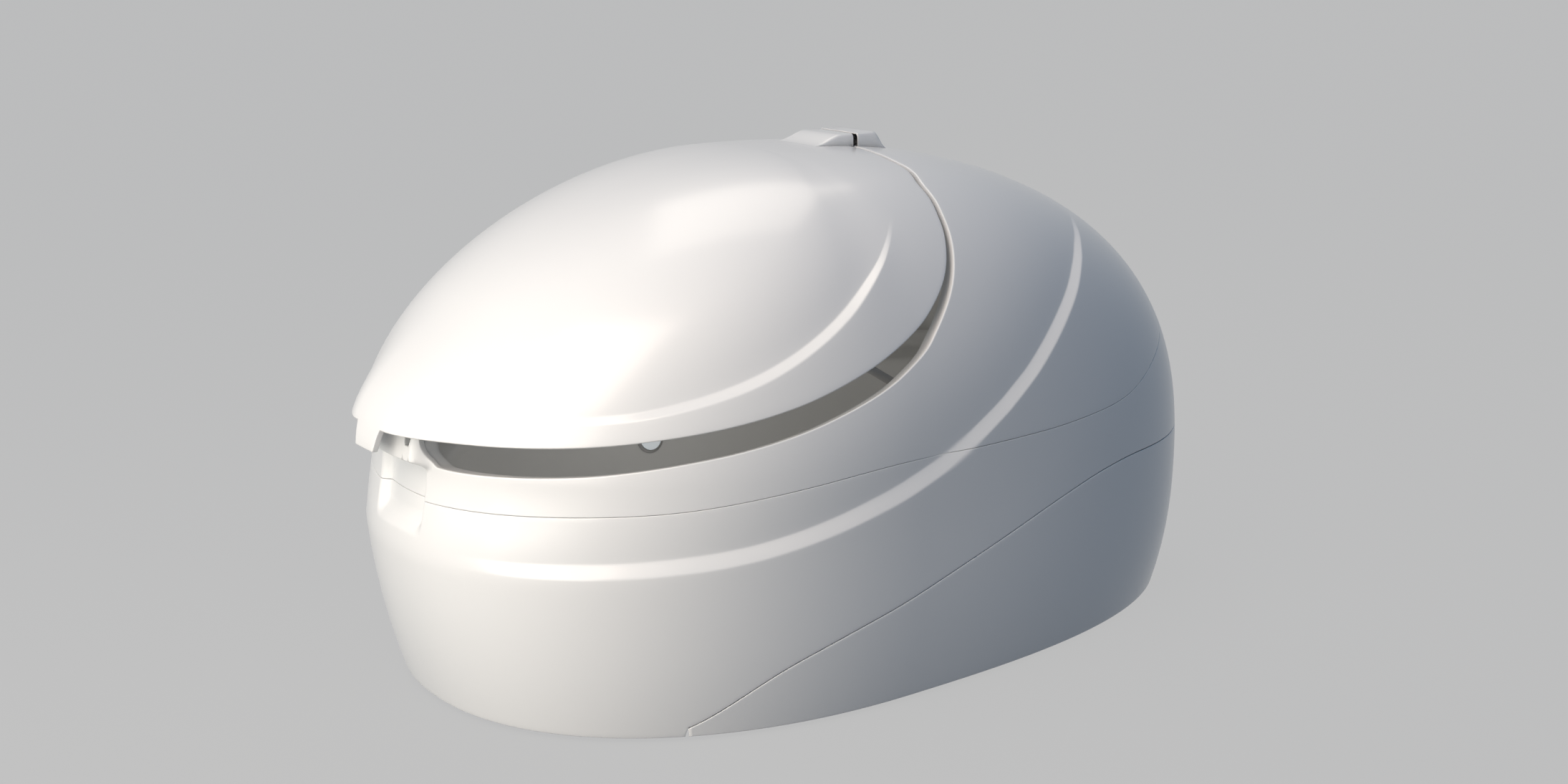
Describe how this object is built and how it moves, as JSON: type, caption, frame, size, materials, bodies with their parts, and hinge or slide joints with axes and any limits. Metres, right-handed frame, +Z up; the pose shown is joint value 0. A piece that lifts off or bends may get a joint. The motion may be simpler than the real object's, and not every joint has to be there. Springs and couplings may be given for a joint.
{
  "type": "flotation tank",
  "caption": "Egg-shaped flotation tank: a moulded pod with a rear-hinged front lid on gas struts, an inner basin and a rear plant bay.",
  "frame": {"origin": "on the floor under the middle of the pod", "axes": "+X from the nose to the rear along the pod, +Y to the right side seen from behind the nose, +Z up"},
  "size_m": [2.4998, 1.5346, 1.3434],
  "materials": {
    "bezel": "satin chrome",
    "box": "moulded grey",
    "feet": "zinc-plated steel",
    "filter_cap": "moulded blue",
    "filter_casing": "moulded off-white",
    "fittings": "white moulded fitting",
    "frame": "grey powder coat",
    "gland": "moulded dark grey",
    "grate": "satin stainless",
    "grip_steel": "satin stainless",
    "heater": "silicone mat",
    "help_button": "red",
    "insulation": "rigid foam board",
    "lens": "frosted lens",
    "lever": "red dipped lever",
    "light_button": "white translucent",
    "liner": "white satin gelcoat",
    "pipe": "white pressure pipe",
    "pump_casing": "moulded black",
    "rod_chrome": "hard chrome",
    "seal": "soft black rubber",
    "shell": "white high-gloss gelcoat",
    "steel": "satin stainless",
    "strut_black": "black lacquer",
    "tray": "galvanised sheet",
    "uv_steel": "brushed stainless",
    "valve_brass": "cast brass"
  },
  "bodies": {
    "base": {"hood_shell": "shell", "hood_liner": "liner", "nose_buffer_right": "seal", "nose_buffer_left": "seal", "tub_shell": "shell", "service_apron": "shell", "tub_liner": "liner", "hinge_base_leaf": "steel", "hinge_pin": "steel", "hinge_base_bolts": "steel", "hinge_base_cover": "shell", "strut_base_bracket_right": "steel", "light_right": "lens", "jet_right": "fittings", "suction_right": "fittings", "strut_base_bracket_left": "steel", "light_left": "lens", "jet_left": "fittings", "suction_left": "fittings", "floor_grate": "grate", "light_bezel": "bezel", "help_bezel": "bezel", "underframe": "frame", "levelling_feet": "feet", "floor_board": "insulation", "heater_pad": "heater", "plant_tray": "tray", "pump": "pump_casing", "filter_housing": "filter_casing", "filter_cap": "filter_cap", "uv_unit": "uv_steel", "pump_pipe": "pipe", "valve_body": "valve_brass", "filter_pipe": "pipe", "uv_pipe": "pipe", "control_box": "box", "mains_inlet": "gland", "drain_outlet": "gland", "shell_brackets": "frame"},
    "lid": {"lid_shell": "shell", "lid_liner": "liner", "lid_seal": "seal", "hinge_lid_leaf": "steel", "hinge_lid_bolts": "steel", "hinge_lid_cover": "shell", "strut_lid_bracket_right": "steel", "strut_lid_bracket_left": "steel", "lid_grip": "grip_steel"},
    "strut_cylinder_right": {"strut_cylinder_right": "strut_black"},
    "strut_rod_right": {"strut_rod_right": "rod_chrome"},
    "strut_cylinder_left": {"strut_cylinder_left": "strut_black"},
    "strut_rod_left": {"strut_rod_left": "rod_chrome"},
    "light_button": {"light_button": "light_button"},
    "help_button": {"help_button": "help_button"},
    "valve_lever": {"valve_lever": "lever"}
  },
  "joints": [
    {"name": "lid_hinge", "type": "hinge", "parent": "base", "child": "lid", "pos_m": [0.18837, 0, 1.32945], "axis": [0, 1, 0], "range_deg": [0, 50]},
    {"name": "strut_tilt_right", "type": "hinge", "parent": "base", "child": "strut_cylinder_right", "pos_m": [0.14036, 0.585, 0.64958], "axis": [0, 1, 0], "range_deg": [0, 22.9]},
    {"name": "strut_slide_right", "type": "slide", "parent": "strut_cylinder_right", "child": "strut_rod_right", "axis": [-0.8538, 0, 0.5206], "range_m": [0, 0.46197]},
    {"name": "strut_tilt_left", "type": "hinge", "parent": "base", "child": "strut_cylinder_left", "pos_m": [0.14036, -0.585, 0.64958], "axis": [0, 1, 0], "range_deg": [0, 22.9]},
    {"name": "strut_slide_left", "type": "slide", "parent": "strut_cylinder_left", "child": "strut_rod_left", "axis": [-0.8538, 0, 0.5206], "range_m": [0, 0.46197]},
    {"name": "light_press", "type": "slide", "parent": "base", "child": "light_button", "axis": [0, 0, -1], "range_m": [0, 0.003], "stiffness_N_per_m": 500, "springref_m": -0.003},
    {"name": "help_press", "type": "slide", "parent": "base", "child": "help_button", "axis": [0, 0, -1], "range_m": [0, 0.003], "stiffness_N_per_m": 500, "springref_m": -0.003},
    {"name": "valve_turn", "type": "hinge", "parent": "base", "child": "valve_lever", "pos_m": [1.054, 0.02035, 0.297], "axis": [0, 0, 1], "range_deg": [0, 90]}
  ],
  "couplings": [
    {"joint": "strut_tilt_right", "follows": "lid_hinge", "ratio": 0.45782},
    {"joint": "strut_slide_right", "follows": "lid_hinge", "m_per_rad": 0.52937},
    {"joint": "strut_tilt_left", "follows": "lid_hinge", "ratio": 0.45782},
    {"joint": "strut_slide_left", "follows": "lid_hinge", "m_per_rad": 0.52937}
  ]
}
